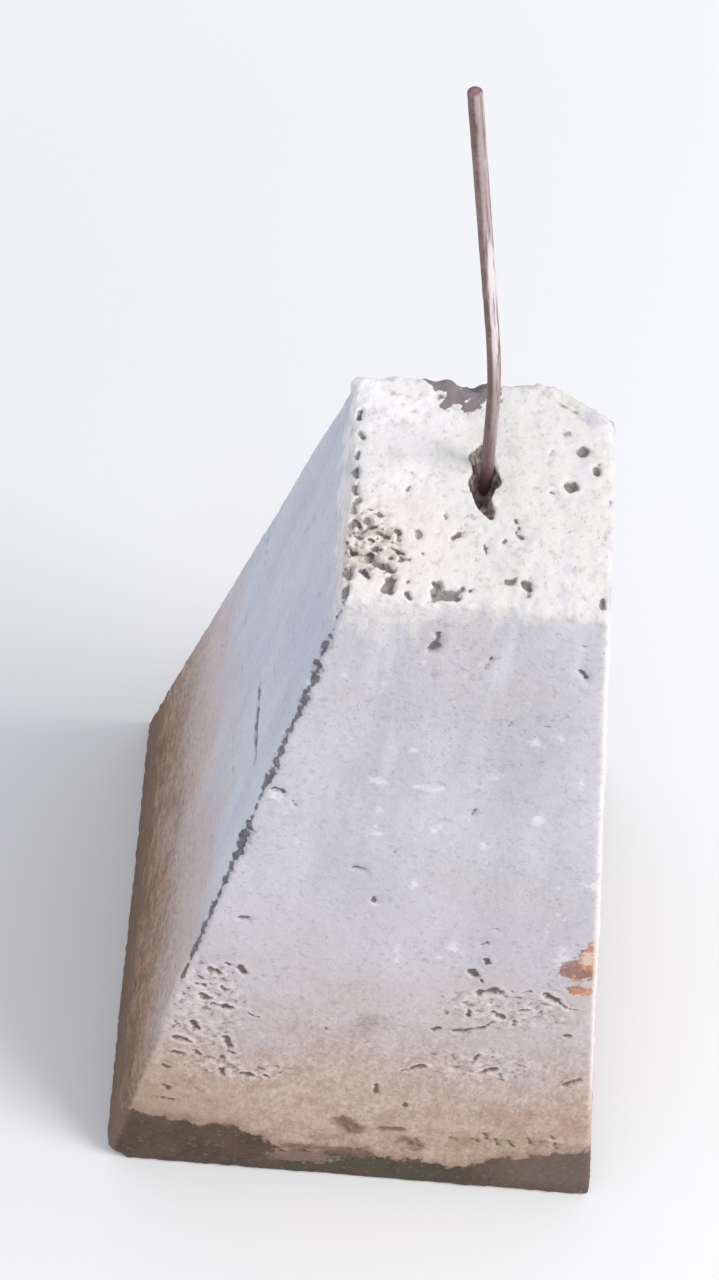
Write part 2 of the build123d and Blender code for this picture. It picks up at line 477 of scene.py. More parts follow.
# %% Marks on the top: x and y of both ends, half width, depth
round_pits = (
    (45.5, 26.2, 45.6, 26.6, 2.7, 3.0), (39.8, 6.3, 40.4, 6.5, 2.8, 3.0),
    (52, 15.5, 52, 17.5, 1.7, 2.4))
top_marks = (
    (53, 19, 53, 22, 1.0, 1.4), (31, 2, 32.5, 1.5, 1.3, 0.7), (30, 18, 31, 24, 1.3, 0.7),
    (37, 34, 38.5, 35, 1.3, 0.4), (59, 0, 59, 2, 0.9, 1.2), (15, -15, 16.5, -19, 0.9, 1.2),
    (16.5, -21, 18, -23.5, 1.2, 1.4), (13, 28, 8, 39, 0.8, 0.6), (10, -27, 10.5, -26, 1.1, 1.0),
    (2, -29, 2, -33, 0.9, 0.9), (12.6, -46.6, 15.4, -45.6, 1.4, 2.0),
    (16, -44.6, 18.6, -44.6, 0.9, 1.2), (20.2, -46.4, 21.4, -48, 2.0, 2.6),
    (22, -52, 22, -52.6, 1.2, 1.4), (55.8, -50, 55.8, -53, 1.4, 1.8), (40, -43, 48, -51, 0.9, 0.6),
    (-19, -51, -18.4, -55, 2.5, 2.7), (-18, -54.8, -11, -54.8, 2.7, 2.7),
    (-11, -54, -7.5, -51.6, 1.4, 1.8), (-3.8, -51.2, -4, -52.4, 1.2, 1.4),
    (-39.4, -49, -40.2, -54, 2.3, 2.8), (-43, -54, -42, -54, 1.3, 1.6),
    (-32, -56, -31, -57, 1.5, 1.6), (-57, -21.5, -54, -25, 2.7, 3.0),
    (-52, -20, -49.5, -23.5, 1.5, 2.2), (-50, -16, -49, -17, 1.1, 1.2),
    (-48, -25.5, -42, -27.4, 1.3, 2.0), (-38.4, -26.5, -37.4, -28.5, 1.3, 1.8),
    (-45, -21, -41, -23, 0.9, 1.4), (-56, -29, -52, -31, 1.2, 1.8), (-50, -31, -46, -34, 1.0, 1.6),
    (-58, -34.5, -50, -38.6, 1.9, 2.8), (-50, -38.6, -41, -43, 2.0, 3.0),
    (-44, -36, -40, -38.5, 1.0, 1.6), (-54, -42.5, -50, -46, 1.1, 1.4),
    (-29, -25, -28, -27, 1.9, 0.9), (-20, -22, -20, -25, 0.9, 0.9), (-17, -15, -16, -17, 1.1, 1.1),
    (-12.6, -26, -10, -24.6, 1.5, 1.7), (-9.4, -24, -8.4, -20.5, 0.9, 1.0),
    (-14, -29.4, -14, -30.4, 1.2, 1.3), (-36, -38.6, -30, -39, 1.1, 1.2),
    (-26, -36, -21, -40, 0.9, 1.1), (-38, -44, -38, -47, 1.2, 1.4), (-33, -47, -32, -50, 0.9, 1.0),
    (-8, -19, -8, -23, 0.8, 0.9), (-33, 6, -34, -4, 1.0, 0.7),
    (-57.8, 36.5, -57.6, 39.5, 1.5, 1.8), (-57, 26.8, -55.4, 25.4, 1.5, 1.6),
    (-57.8, 17, -58, 14, 1.4, 1.8), (-58.0, 8, -57.6, 4.4, 1.6, 2.0),
    (-58.0, -1.4, -57.4, -5, 1.7, 2.2), (-56.2, -9.4, -56.8, -11, 1.6, 2.0),
    (-57.8, -13.4, -57.8, -15, 1.7, 2.2), (-58.0, -43, -58.4, -47.6, 2.0, 2.4),
    (-58.8, -53, -58.8, -56, 1.6, 2.0))
print("marks on the top", len(top_marks) + len(round_pits))

# %% [markdown]
# The front has two kinds of mark. High up there are single bubbles and scratches. Low down,
# where the mould was filled first, the mortar did not close against the sheet and left
# clusters of crumbly holes.

# %% Marks on the front: x and z of both ends, half width, depth
front_marks = (
    (-16.4, 521, -15, 524, 2.2, 2.5), (-15, 524, -15, 532, 1.25, 1.8),
    (10, 511, 11, 519, 0.9, 1.2), (53, 514, 56, 510, 1.4, 1.8), (51, 533, 52, 533, 0.9, 0.9),
    (27, 470, 28, 474, 0.8, 0.9), (44, 471, 45, 471, 1.0, 1.0), (20, 394, 21, 399, 1.0, 1.2),
    (-14, 357, -14, 358, 1.0, 1.0), (-78, 401, -74, 399, 2.0, 2.2), (-68, 393, -67, 389, 1.0, 1.2),
    (-32, 339, -27, 338, 1.5, 1.6), (-19, 312, -19, 309, 1.3, 1.4), (-86, 283, -83, 283, 1.8, 1.8),
    (43, 277, 45, 279, 1.3, 1.2), (48, 293, 48, 294, 1.0, 0.9), (47, 263, 48, 260, 1.6, 2.0),
    (41, 250, 43, 246, 2.3, 2.8), (47, 242, 48, 239, 1.1, 1.2), (49, 228, 58, 231, 2.6, 2.8),
    (54, 232, 56, 235, 1.5, 1.8), (65, 233, 66, 231, 1.0, 1.0), (71, 232, 75, 234, 1.2, 1.4),
    (84, 232, 90, 227, 2.2, 2.4), (90, 227, 98, 220, 1.1, 1.8), (98, 220, 106, 219, 0.9, 1.4),
    (73, 213, 77, 214, 1.3, 1.4), (45, 208, 46, 203, 1.3, 1.4), (41, 216, 43, 218, 1.1, 1.0),
    (58, 209, 65, 204, 1.5, 1.6), (41, 186, 46, 187, 1.9, 2.4), (46, 187, 55, 192, 1.5, 2.0),
    (55, 192, 61, 200, 1.0, 1.2), (72, 201, 72, 197, 1.2, 1.2), (28, 186, 31, 188, 1.4, 1.4),
    (102, 190, 104, 191, 1.7, 1.4), (17, 138, 22, 139, 1.3, 1.6), (23, 141, 28, 144, 1.9, 2.2),
    (60, 141, 69, 147, 1.5, 2.0), (55, 152, 58, 163, 0.9, 1.2), (65, 159, 66, 162, 1.0, 1.0),
    (81, 148, 83, 148, 1.1, 1.0), (73, 141, 75, 136, 1.0, 1.1), (112, 135, 116, 141, 2.1, 2.4),
    (118, 145, 119, 142, 1.1, 1.2), (4, 118, 5, 109, 1.3, 1.6), (24, 99, 24, 96, 1.4, 1.4),
    (-31, 178, -31, 175, 1.0, 1.0))
print("marks on the front", len(front_marks))

# %% [markdown]
# The lower left of the front is the most crumbly part, and above the damp foot there is a row
# of shallow dents, where wet soil has lain against the face. The left face has few marks.

# %% More marks on the front: the crumbly lower left, and the dents above the damp foot
lower_left_marks = (
    (-99, 230, -94, 226, 1.8, 2.2), (-83, 235, -81, 229, 1.7, 2.2), (-91, 237, -89, 236, 1.0, 1.2),
    (-102, 201, -98, 198, 2.0, 2.4), (-94, 192, -86, 190, 1.7, 2.4),
    (-105, 213, -102, 212, 1.4, 1.6), (-92, 212, -89, 210, 1.4, 1.5),
    (-75, 187, -70, 184, 1.1, 1.2), (-105, 171, -103, 164, 1.8, 2.2),
    (-114, 153, -107, 151, 1.9, 2.2), (-115, 170, -113, 168, 1.3, 1.4),
    (-86, 158, -83, 148, 1.7, 2.0), (-83, 143, -80, 141, 1.4, 1.5),
    (-114, 138, -110, 136, 2.1, 2.2), (-102, 140, -100, 137, 1.3, 1.4),
    (-87, 136, -86, 135, 1.4, 1.4), (-86, 123, -85, 117, 1.7, 1.8), (-73, 119, -69, 118, 1.7, 1.8),
    (-61, 119, -59, 117, 1.4, 1.4), (-119, 121, -117, 119, 1.4, 1.4),
    (-118, 97, -115, 95, 1.8, 1.8), (-123, 83, -121, 82, 1.2, 1.2), (-117, 82, -113, 81, 1.6, 1.6),
    (-55, 131, -54, 129, 1.0, 1.0))
foot_marks = (
    (-13, 72, -8, 62, 3.5, 1.8), (-7, 64, -3, 65, 2.6, 1.5), (14, 65, 24, 66, 1.8, 1.4),
    (29, 52, 32, 48, 2.6, 1.6), (35, 56, 38, 46, 1.6, 1.2), (56, 60, 58, 60, 1.5, 1.2),
    (68, 61, 72, 59, 1.4, 1.2), (75, 69, 77, 62, 1.8, 1.4), (82, 63, 84, 57, 1.4, 1.2),
    (90, 62, 93, 57, 1.5, 1.3), (101, 67, 103, 62, 1.6, 1.4), (109, 64, 111, 66, 1.3, 1.1),
    (114, 73, 115, 69, 1.3, 1.2), (118, 63, 120, 58, 1.4, 1.2), (-40, 33, -20, 34, 1.2, 1.4))
left_marks = (
    (-18, 373, -36, 375, 2.4, 2.2), (-36, 375, -56, 377, 1.9, 1.8), (-88, 82, -86, 80, 2.2, 1.8),
    (80, 366, 84, 364, 1.6, 0.8))
print("crumbly marks", len(lower_left_marks), "dents", len(foot_marks), "left", len(left_marks))


# %% [markdown]
# The distance from a vertex to a stroke is plain geometry. The strokes are bent a little by
# noise, so that none is a straight line, and narrow ones are broken up. The weights drive one
# Displace modifier with no texture, and a second one raises a low crumbly rim round the holes
# of the clusters. The faces that hardly show get random bubbles, from a fixed seed.

# %% Carving the marks
def measured_skin():
    """Places and depths of the skin's vertices, and two noises that roughen the strokes."""
    p = vertex_places(block)
    wobble = grain(p, 0.0022, 1) + 0.6 * grain(p, 0.005, 2)
    return p, depths(p), wobble, np.stack([grain(p, 0.0042, 21), grain(p, 0.0042, 22)], 1)


# in half widths of a stroke: where it ends, where its ridge stands and how wide that is
stroke_end, ridge_middle, ridge_width, farthest = 1.4, 1.9, 0.55, 3.2
narrow = 1.25  # a stroke of a smaller half width, in millimetres, is broken up
# which two coordinates lie in each face
across_face = {"top": (0, 1), "front": (0, 2), "back": (0, 2), "left": (1, 2), "right": (1, 2)}


def strokes(face, marks, full_depth, reach=0.006, rag=0.55, ridge=False):
    """Weights of the skin for strokes on one face, or for a low ridge round each. Only
    vertices less than the reach below that face take part."""
    weights = np.zeros(len(skin))
    candidates = np.nonzero(deep[face] < reach)[0]
    bent = skin[:, across_face[face]] * 1000 + rag * 1.1 * sway
    for a0, b0, a1, b1, half, depth in marks:
        start, run = np.array((a0, b0), float), np.array((a1 - a0, b1 - b0), float)
        local = bent[candidates] - start
        close = np.abs(local - run / 2).max(1) < np.abs(run).max() / 2 + half * farthest
        at, local = candidates[close], local[close]
        along = np.clip(local @ run / max(run @ run, 1e-9), 0, 1)
        away = np.linalg.norm(local - along[:, None] * run, axis=1)
        away = (away + half * rag * wobble[at]) / half
        if ridge:
            shape = np.exp(-((away - ridge_middle) / ridge_width) ** 2) * min(1, depth / 2)
        else:
            shape = np.clip(1 - (away / stroke_end) ** 2, 0, 1) * depth / full_depth
            if half < narrow:
                shape = shape * smooth(wobble[at], -0.45, 0.05)
        weights[at] = np.maximum(weights[at], shape)
    return weights


def bubbles(count, seed):
    """Small round holes strewn over a face: place across, level, half width and depth."""
    throw = np.random.RandomState(seed)
    level = throw.uniform(60, 530, count)
    across = throw.uniform(-0.92, 0.92, count) * (150 - 0.1636 * level)
    half = 0.9 + 1.5 * throw.uniform(0, 1, count) ** 3
    return tuple((a, b, a + 0.5, b, h, h * 0.9) for a, b, h in zip(across, level, half))


skin, deep, wobble, sway = measured_skin()
deepest = 3.0
marks = np.maximum.reduce([
    strokes("top", top_marks, deepest, reach=0.007),
    strokes("top", round_pits, deepest, reach=0.007, rag=0.2),
    strokes("front", front_marks + foot_marks, deepest),
    strokes("front", lower_left_marks, deepest, rag=1.0),
    strokes("left", left_marks + bubbles(26, 3), deepest),
    strokes("back", bubbles(34, 5), deepest),
    strokes("right", bubbles(34, 7), deepest)])
weigh("marks", marks)
relief("marks", None, -deepest / 1000, 0)
single_marks = 16  # the first marks on the front stand alone, the rest are crumbly clusters
crumbly_marks = front_marks[single_marks:] + lower_left_marks
ridges = strokes("front", crumbly_marks, 1, reach=0.004, ridge=True)
weigh("ridges", np.clip(ridges - 2 * marks, 0, 1))
relief("ridges", clouds("ridge_crumbs", 0.004), 0.0011, 0)


# %% [markdown]
# ## Honeycomb and small pores
#
# Near the front left corner of the top the mortar never filled the gaps between the stones,
# which masons call honeycombing. The gaps are long and all lie one way, so the noise that
# makes them is stretched along a slant. A Voronoi texture, which has cells with ridges between
# them, pits the lower part of every side, where soil and frost have worked on the skin.

# %% Honeycomb and weathered foot
comb_place, comb_size = (-0.050, -0.031), (0.015, 0.018)


def honeycomb(p, d):
    """1 in the honeycombed patch of the top, 0 well away from it."""
    core = np.hypot(*((p[:, :2] - comb_place) / comb_size).T)
    share = smooth(-core + 0.35 * grain(p, 0.008, 3), -1.15, -0.55)
    return share * within(d["top"], 0.004, 0.009)


comb = honeycomb(skin, deep)
weigh("honeycomb", comb)
slant = np.array(((0.91, -0.41), (0.41, 0.91)))
gaps = np.zeros(len(skin))
combed = comb > 0
for long_side, short_side, seed in ((0.0080, 0.0021, 31), (0.0062, 0.0017, 33)):
    slanted = np.column_stack([skin[combed, :2] @ slant.T / (long_side, short_side),
                               skin[combed, 2] / 0.004])
    gaps[combed] = np.maximum(gaps[combed], smooth(grain(slanted, 1.0, seed), 0.18, 0.50))
weigh("gaps", gaps * comb)
relief("gaps", None, -0.0026, 0)
relief("honeycomb", clouds("comb_crumbs", 0.0030, 4), 0.0024, 0.55)

patches = smooth(grain(skin, 0.030, 4) + 0.6 * grain(skin, 0.012, 5), -0.15, 0.45)
low = within(skin[:, 2], 0.120, 0.255)
foot = within(skin[:, 2], 0.040, 0.085)
# middle, half width and half height of the crumbly clusters
clusters = ((-0.100, 0.190, 0.026, 0.055), (0.066, 0.212, 0.042, 0.022),
            (0.060, 0.150, 0.040, 0.020), (-0.075, 0.125, 0.035, 0.015))
frost_pits = bpy.data.textures.new("frost_pits", "VORONOI")
frost_pits.noise_scale = 0.0065


def crumbly(p, d):
    """1 in the crumbly clusters on the lower front, 0 well away from them."""
    share = np.zeros(len(p))
    for across, level, wide, tall in clusters:
        place = ((p[:, 0] - across) / wide) ** 2 + ((p[:, 2] - level) / tall) ** 2
        share = np.maximum(share, np.exp(-place))
    return smooth(share, 0.15, 0.7) * within(d["front"], 0.002, 0.008)


weigh("weathered", np.maximum(low * patches * 0.7, foot * 0.8) * (1 - on_top))
weigh("pocked", crumbly(skin, deep))
relief("pocked", clouds("pocks", 0.0075, 3), 0.0030, 0.55)
relief("weathered", frost_pits, 0.0010)
relief("weathered", clouds("frost_crumbs", 0.0050, 4), 0.0014)

# %% [markdown]
# ## Fewer triangles where they do no work
#
# The skin has several times as many triangles as the budget below allows. The faces that show
# most keep the most: each region is picked in edit mode by its place and decimated on its own.

# %% Thinning region by region
def thin(ratio, test):
    chosen = test(depths(vertex_places(block)))
    edit(block, "VERT")
    leave()
    block.data.vertices.foreach_set("select", chosen)
    bpy.ops.object.mode_set(mode="EDIT")
    bpy.ops.mesh.select_mode(type="VERT")
    bpy.ops.mesh.decimate(ratio=ratio)
    leave()
    print("thinned to", len(block.data.vertices), "vertices")


def triangles():
    return sum(len(polygon.vertices) - 2 for polygon in block.data.polygons)


edit(block, picked="SELECT")
bpy.ops.mesh.quads_convert_to_tris(quad_method="BEAUTY", ngon_method="BEAUTY")
leave()
near, inside = 0.008, 0.010
thin(0.02, lambda d: d["base"] < 0.0015)
thin(0.055, lambda d: (np.minimum(d["right"], d["back"]) < near)
     & (np.minimum(d["front"], d["left"]) > inside) & (d["top"] > inside))
thin(0.13, lambda d: (d["left"] < near) & (d["front"] > inside) & (d["top"] > inside))
thin(0.36, lambda d: (d["front"] < near) & (d["left"] > inside) & (d["top"] > inside))
thin(0.75, lambda d: d["top"] <= inside)
triangle_budget = 192000
apply(block, "DECIMATE", ratio=min(1.0, triangle_budget / triangles()))
print("triangles in the end", triangles())


# %% [markdown]
# The block stands on its base, so the base must be flat. The relief has moved it by a hair,
# and scaling the lowest vertices to nothing along z puts it back on the ground.

# %% A flat underside
edit(block, "VERT")
pick(block, "verts", lambda v: v.co.z < 0.0008)
bpy.ops.transform.resize(value=(1, 1, 0), center_override=(0, 0, 0))
leave()
print("lowest point", vertex_places(block)[:, 2].min())


# %% [markdown]
# Some marks have colour and hardly any depth: pale chips where the skin has flaked, brown soil
# stains, a grey patch of painted shade on the back edge of the top, a scratch on the left face,
# and painted shade in the hollow. They are strokes as well, but they only feed the material.

# %% Strokes that carry only colour: both ends, half width, strength
pale_marks = (
    (28, 500, 29, 498, 2.0, 1.0), (31, 493, 32, 490, 1.3, 1.0), (40, 459, 41, 457, 2.2, 1.0),
    (52, 464, 53, 462, 2.1, 1.0), (67, 431, 69, 425, 2.6, 1.0), (51, 500, 52, 498, 1.3, 0.8),
    (-24, 464, -23, 462, 1.6, 1.0), (-16, 444, -15, 442, 1.4, 0.8), (-31, 417, -27, 415, 2.3, 1.0),
    (-12, 416, 4, 413, 1.9, 0.9), (-29, 375, -26, 371, 2.4, 1.0), (-62, 358, -60, 356, 2.0, 0.9),
    (51, 399, 55, 393, 3.0, 1.0), (27, 370, 30, 368, 2.4, 0.9), (10, 366, 11, 361, 1.4, 0.9),
    (2, 380, 5, 377, 1.6, 0.9), (32, 355, 34, 350, 1.8, 0.9), (-25, 396, -24, 389, 1.4, 0.9),
    (-55, 497, -54, 494, 2.0, 0.8), (14, 448, 18, 448, 1.8, 0.9), (22, 431, 26, 429, 1.8, 0.9),
    (-9, 450, -8, 447, 1.5, 0.8), (86, 345, 90, 341, 2.6, 1.0), (25, 515, 27, 515, 1.4, 0.8),
    (12, 331, 13, 328, 1.8, 0.9), (0, 330, 1, 327, 1.8, 0.9), (-19, 308, -19, 306, 1.3, 0.8),
    (-2, 274, 0, 256, 2.6, 0.7), (20, 262, 29, 246, 1.5, 0.9), (27, 276, 29, 268, 2.6, 0.8),
    (85, 281, 87, 266, 3.2, 0.8), (-41, 548, -41, 517, 2.0, 0.8), (-58, 552, -56, 530, 2.6, 0.6),
    (-56, 472, -50, 456, 1.3, 0.7), (-49, 455, -45, 448, 4.0, 0.4), (-36, 500, -34, 478, 2.4, 0.4),
    (-50, 548, -47, 538, 3.0, 0.7), (24, 548, 22, 522, 1.8, 0.4), (-78, 396, -76, 394, 2.4, 0.9),
    (80, 381, 82, 376, 1.8, 0.8), (21, 420, 22, 416, 1.3, 0.8), (-20, 511, -18, 509, 1.8, 0.7),
    (-70, 485, -69, 483, 1.4, 0.9), (-20, 238, -8, 236, 3.5, 0.4), (30, 212, 31, 206, 1.5, 0.8))
stain_marks = (
    (-11, 71, -3, 63, 6.4, 1.0), (14, 66, 24, 66, 3.2, 0.9), (28, 54, 37, 46, 6.0, 0.7),
    (62, 58, 90, 63, 5.0, 0.35), (98, 66, 120, 60, 4.5, 0.35), (-42, 34, -4, 36, 3.4, 0.9),
    (-22, 48, -10, 54, 8.0, 0.35), (-12, 180, -7, 190, 10.0, 0.42), (-112, 60, -96, 60, 4.0, 0.4),
    (-20, 34, 8, 33, 6.0, 0.6))
patch_strokes = (
    (-25, 59, -4, 59, 4.4, 1.0), (-23, 55, -14, 54, 2.6, 1.0), (-13, 51, -3, 55, 4.6, 1.0),
    (-19, 45, -16, 49, 2.2, 1.0), (-8, 44, -5, 47, 3.0, 1.0), (-3, 54, 2, 56, 5.0, 1.0))
left_strokes = (
    (-17, 373, -36, 374, 3.0, 1.0), (-34, 374, -57, 378, 2.6, 0.9), (60, 366, 84, 364, 2.0, 0.3))
shaded_strokes = (
    (-5.8, 3.6, -4.4, -2.0, 2.0, 1.0), (-4.2, -2.0, -2.4, -8.0, 1.8, 1.0),
    (-6.6, 16.8, -5.6, 14.0, 1.5, 0.8), (6.6, 7.0, 5.6, 2.6, 1.6, 0.8),
    (1.5, 3.0, 1.0, -3.5, 2.4, 0.9), (1.6, -11.6, 4.4, -15.0, 1.4, 0.7))
print("pale chips", len(pale_marks), "stains", len(stain_marks))


# %% [markdown]
# ## What the finish needs to know
#
# Dirt lies in hollows, and shade falls there, so the material darkens them with dirt and
# painted shade together. The skin is smoothed many times over in numbers only, and a vertex
# that lies below its smoothed place is in a hollow: that depth is stored as an attribute for
# the material to read. Other attributes hold where the skin is broken, how high a point is
# above the damp line, where the chips, stains and places of painted shade are, and where a
# painted highlight runs along the right front edge.

# %% Attributes for the material
def store(name, values):
    attribute = block.data.attributes.new(name, "FLOAT", "POINT")
    attribute.data.foreach_set("value", values.astype(np.float32))


def hollowness(rounds):
    """Depth of each vertex below the smoothed skin, in millimetres."""
    mesh = block.data
    ends = np.zeros(len(mesh.edges) * 2, np.int32)
    mesh.edges.foreach_get("vertices", ends)
    a, b = ends.reshape(-1, 2).T
    count = np.bincount(np.r_[a, b], minlength=len(mesh.vertices))
    place = start = vertex_places(block)
    for _ in range(rounds):
        total = np.stack([np.bincount(np.r_[a, b], np.r_[place[b, k], place[a, k]],
                                      minlength=len(place)) for k in range(3)], 1)
        place = total / np.maximum(count, 1)[:, None]
    normals = np.zeros(len(mesh.vertices) * 3, np.float32)
    mesh.vertices.foreach_get("normal", normals)
    return ((place - start) * normals.reshape(-1, 3)).sum(1) * 1000


skin, deep, wobble, sway = measured_skin()
x, y, z = skin.T
block.vertex_groups.clear()
store("hollow", hollowness(12))
store("spalled", arris_broken(skin, deep))
store("combed", honeycomb(skin, deep))
store("crumbly_share", crumbly(skin, deep))
carved = np.maximum.reduce([
    strokes("top", top_marks, 2.0, reach=0.008),
    strokes("top", round_pits, 2.6, reach=0.008, rag=0.2),
    strokes("front", front_marks, 2.2),
    strokes("front", lower_left_marks, 2.2, rag=1.0)])
store("carved", np.clip(carved, 0, 1) * (1 - honeycomb(skin, deep)))
store("pale", strokes("front", pale_marks, 1.0, reach=0.004, rag=0.35))
store("grey_patch", strokes("top", patch_strokes, 1.0, reach=0.012, rag=0.12))
store("stain", strokes("front", stain_marks, 1.0, reach=0.008, rag=0.25))
store("left_mark", strokes("left", left_strokes, 1.0, rag=0.3))
store("hollow_shade", strokes("top", shaded_strokes, 1.0, reach=0.030, rag=0.4)
      * smooth(deep["top"], 0.0006, 0.0022))
hollow_place, hollow_size = (0, 0.004), (0.011, 0.024)
near_bar = np.hypot(*((skin[:, :2] - hollow_place) / hollow_size).T)
store("bar_hollow", within(near_bar, 0.85, 1.0) * np.clip(deep["top"] * 100, 0, 1))
# a painted highlight along the right front edge, as if that edge caught the light
painted_rim_highlight = within(np.maximum(deep["front"], deep["right"]), 0.0012, 0.0034)
store("painted_rim_highlight", painted_rim_highlight * smooth(z, 0.08, 0.16))

# the damp line: height of its top edge at places across the front, and about that height
# on the other faces; and the height that the soil reaches
damp_across = (-0.150, -0.130, -0.110, -0.072, -0.060, -0.050, -0.040, -0.015, 0.005,
               0.020, 0.040, 0.058, 0.075, 0.090, 0.110, 0.135, 0.150)
damp_height = (0.074, 0.064, 0.057, 0.054, 0.046, 0.036, 0.030, 0.034, 0.038,
               0.028, 0.031, 0.021, 0.032, 0.040, 0.049, 0.059, 0.061)
front_line = np.interp(x, damp_across, damp_height)
damp_level, soil_level = 0.058, 0.235
round_line = damp_level + 0.007 * np.sin(3 * np.arctan2(y, x) + 1) + 0.012 * grain(skin, 0.07, 6)
front_share = within(deep["front"], 0.002, 0.012)
damp_line = front_line * front_share + round_line * (1 - front_share)
store("above_damp", (z - damp_line) * 1000)
left_share = within(deep["left"], 0.001, 0.005)
hidden_share = within(np.minimum(deep["right"], deep["back"]), 0.001, 0.008)
store("soil_top", soil_level + 0.03 * left_share + 0.01 * hidden_share)
store("left_side", left_share)
print("attributes", [a.name for a in block.data.attributes if a.domain == "POINT"])

# %% [markdown]
# ## Materials as recipes
#
# Every finish here is procedural: noise, gradients and stored attributes, mixed layer over
# layer as a painter would. A small class keeps the node tree readable as a list of steps. As
# every step names its recipe, the names are short: c for the concrete and r for the rust.

# %% Colours and node helpers
def rgb(red, green, blue):
    """A colour as a painter reads it off a screen, from 0 to 255, in the renderer's units."""
    steps = (red / 255, green / 255, blue / 255)
    return tuple(((v + 0.055) / 1.055) ** 2.4 if v > 0.04045 else v / 12.92 for v in steps) + (1,)


class Recipe:
    """A material's node tree, written as a list of steps."""

    def __init__(self, name):
        self.material = bpy.data.materials.new(name)
        self.material.use_nodes = True
        self.tree = self.material.node_tree
        self.shader = self.tree.nodes["Principled BSDF"]
        self.places = self.node("ShaderNodeTexCoord")["Object"]

    def feed(self, value, socket):
        if isinstance(value, bpy.types.NodeSocket):
            self.tree.links.new(value, socket)
        else:
            socket.default_value = value

    def node(self, kind, inputs=None, **settings):
        """Adds a node, feeds its inputs by name or number, and gives back its outputs."""
        made = self.tree.nodes.new(kind)
        for name, value in settings.items():
            setattr(made, name, value)
        for socket, value in (inputs or {}).items():
            self.feed(value, made.inputs[socket])
        return made.outputs

    def mapped(self, stretch, centre=(0, 0, 0)):
        return self.node("ShaderNodeMapping", {
            "Vector": self.places, "Location": centre, "Scale": stretch})["Vector"]

    def noise(self, size, detail=4, rough=0.5, where=None):
        """Noise from 0 to 1, whose lumps are about size metres across."""
        return self.node("ShaderNodeTexNoise", {
            "Vector": self.places if where is None else where, "Scale": 1 / size,
            "Detail": detail, "Roughness": rough})["Fac"]

    def spots(self, size, where=None):
        """Distance to the nearest of many points, strewn about size metres apart."""
        return self.node("ShaderNodeTexVoronoi", {
            "Vector": self.places if where is None else where, "Scale": 1 / size})["Distance"]

    def attribute(self, name):
        return self.node("ShaderNodeAttribute", attribute_name=name)["Fac"]

    def span(self, value, low, high, to_low=0.0, to_high=1.0):
        """The value moved from the range low to high to a new range, softly at both ends."""
        ends = enumerate((value, low, high, to_low, to_high))
        return self.node("ShaderNodeMapRange", dict(ends), interpolation_type="SMOOTHSTEP")[0]

    def patches(self, size, low, high, to_low=0.0, to_high=1.0, **look):
        """Soft patches about size metres across: noise that goes through a span."""
        return self.span(self.noise(size, **look), low, high, to_low, to_high)

    def ragged(self, size, amount, **look):
        """Noise from minus the amount to the amount, which makes an edge ragged."""
        return self.patches(size, 0.3, 0.7, -amount, amount, **look)

    def chain(self, operation, first, *others):
        """One operation on two values or more, from left to right."""
        for other in others:
            first = self.node("ShaderNodeMath", {0: first, 1: other}, operation=operation)[0]
        return first

    times = partialmethod(chain, "MULTIPLY")
    plus = partialmethod(chain, "ADD")
    minus = partialmethod(chain, "SUBTRACT")
    larger = partialmethod(chain, "MAXIMUM")

    def mix(self, share, first, second):
        return self.node("ShaderNodeMix", {0: share, 6: first, 7: second}, data_type="RGBA")[2]

    def coat(self, under, mask, share, tone):
        """A tone laid over what is under it, as thick as the mask times the share."""
        return self.mix(self.times(mask, share), under, tone)

    def bump(self, rise, distance, under=None):
        inputs = {"Height": rise, "Distance": distance}
        if under is not None:
            inputs["Normal"] = under
        return self.node("ShaderNodeBump", inputs)["Normal"]

    def ball(self, centre, reach):
        """1 at the centre, falling to 0 at the reach along each axis."""
        start = tuple(-at / far for at, far in zip(centre, reach))
        place = self.mapped(tuple(1 / far for far in reach), start)
        return self.node("ShaderNodeTexGradient", {0: place}, gradient_type="SPHERICAL")["Fac"]

    def parts(self):
        """The x, y and z of a place."""
        return self.node("ShaderNodeSeparateXYZ", {0: self.places})

    def tell(self, step):
        print(self.material.name, "with", step, "has", len(self.tree.nodes), "nodes")


# %% [markdown]
# ## Floor and light
#
# A pale floor and a white surround keep attention on the block. The floor fades to plain white
# with distance, so that no horizon shows, and only for rays that look at it: through the Light
# Path node it adds nothing to the light on the block, and near the block it keeps the shadow.

# %% Floor
def looked_at(tree):
    """1 for rays that look from the camera, also by way of gloss or glass, and 0 for others."""
    rays = tree.nodes.new("ShaderNodeLightPath").outputs
    looks = rays["Is Camera Ray"]
    for kind in ("Is Glossy Ray", "Is Transmission Ray"):
        either = tree.nodes.new("ShaderNodeMath")
        either.operation = "MAXIMUM"
        tree.links.new(looks, either.inputs[0])
        tree.links.new(rays[kind], either.inputs[1])
        looks = either.outputs[0]
    return looks


floor_size, fade_from, white_at = 16, 0.45, 1.70
bpy.ops.mesh.primitive_grid_add(size=floor_size, x_subdivisions=8, y_subdivisions=8)
floor = bpy.context.object
floor.name = "floor"
paint = Recipe("floor_paint")
paint.feed(paint.mix(paint.noise(0.6, detail=2), rgb(236, 236, 237), rgb(240, 240, 240)),
           paint.shader.inputs["Base Color"])
paint.shader.inputs["Roughness"].default_value = 0.9
paint.shader.inputs["Specular IOR Level"].default_value = 0.1
distance = paint.node("ShaderNodeVectorMath", {0: paint.places}, operation="LENGTH")["Value"]
fade = paint.times(paint.span(distance, fade_from, white_at), looked_at(paint.tree))
glow = paint.node("ShaderNodeEmission")[0]
joined = paint.node("ShaderNodeMixShader", {0: fade, 1: paint.shader.outputs[0], 2: glow})[0]
paint.feed(joined, paint.tree.nodes["Material Output"].inputs["Surface"])
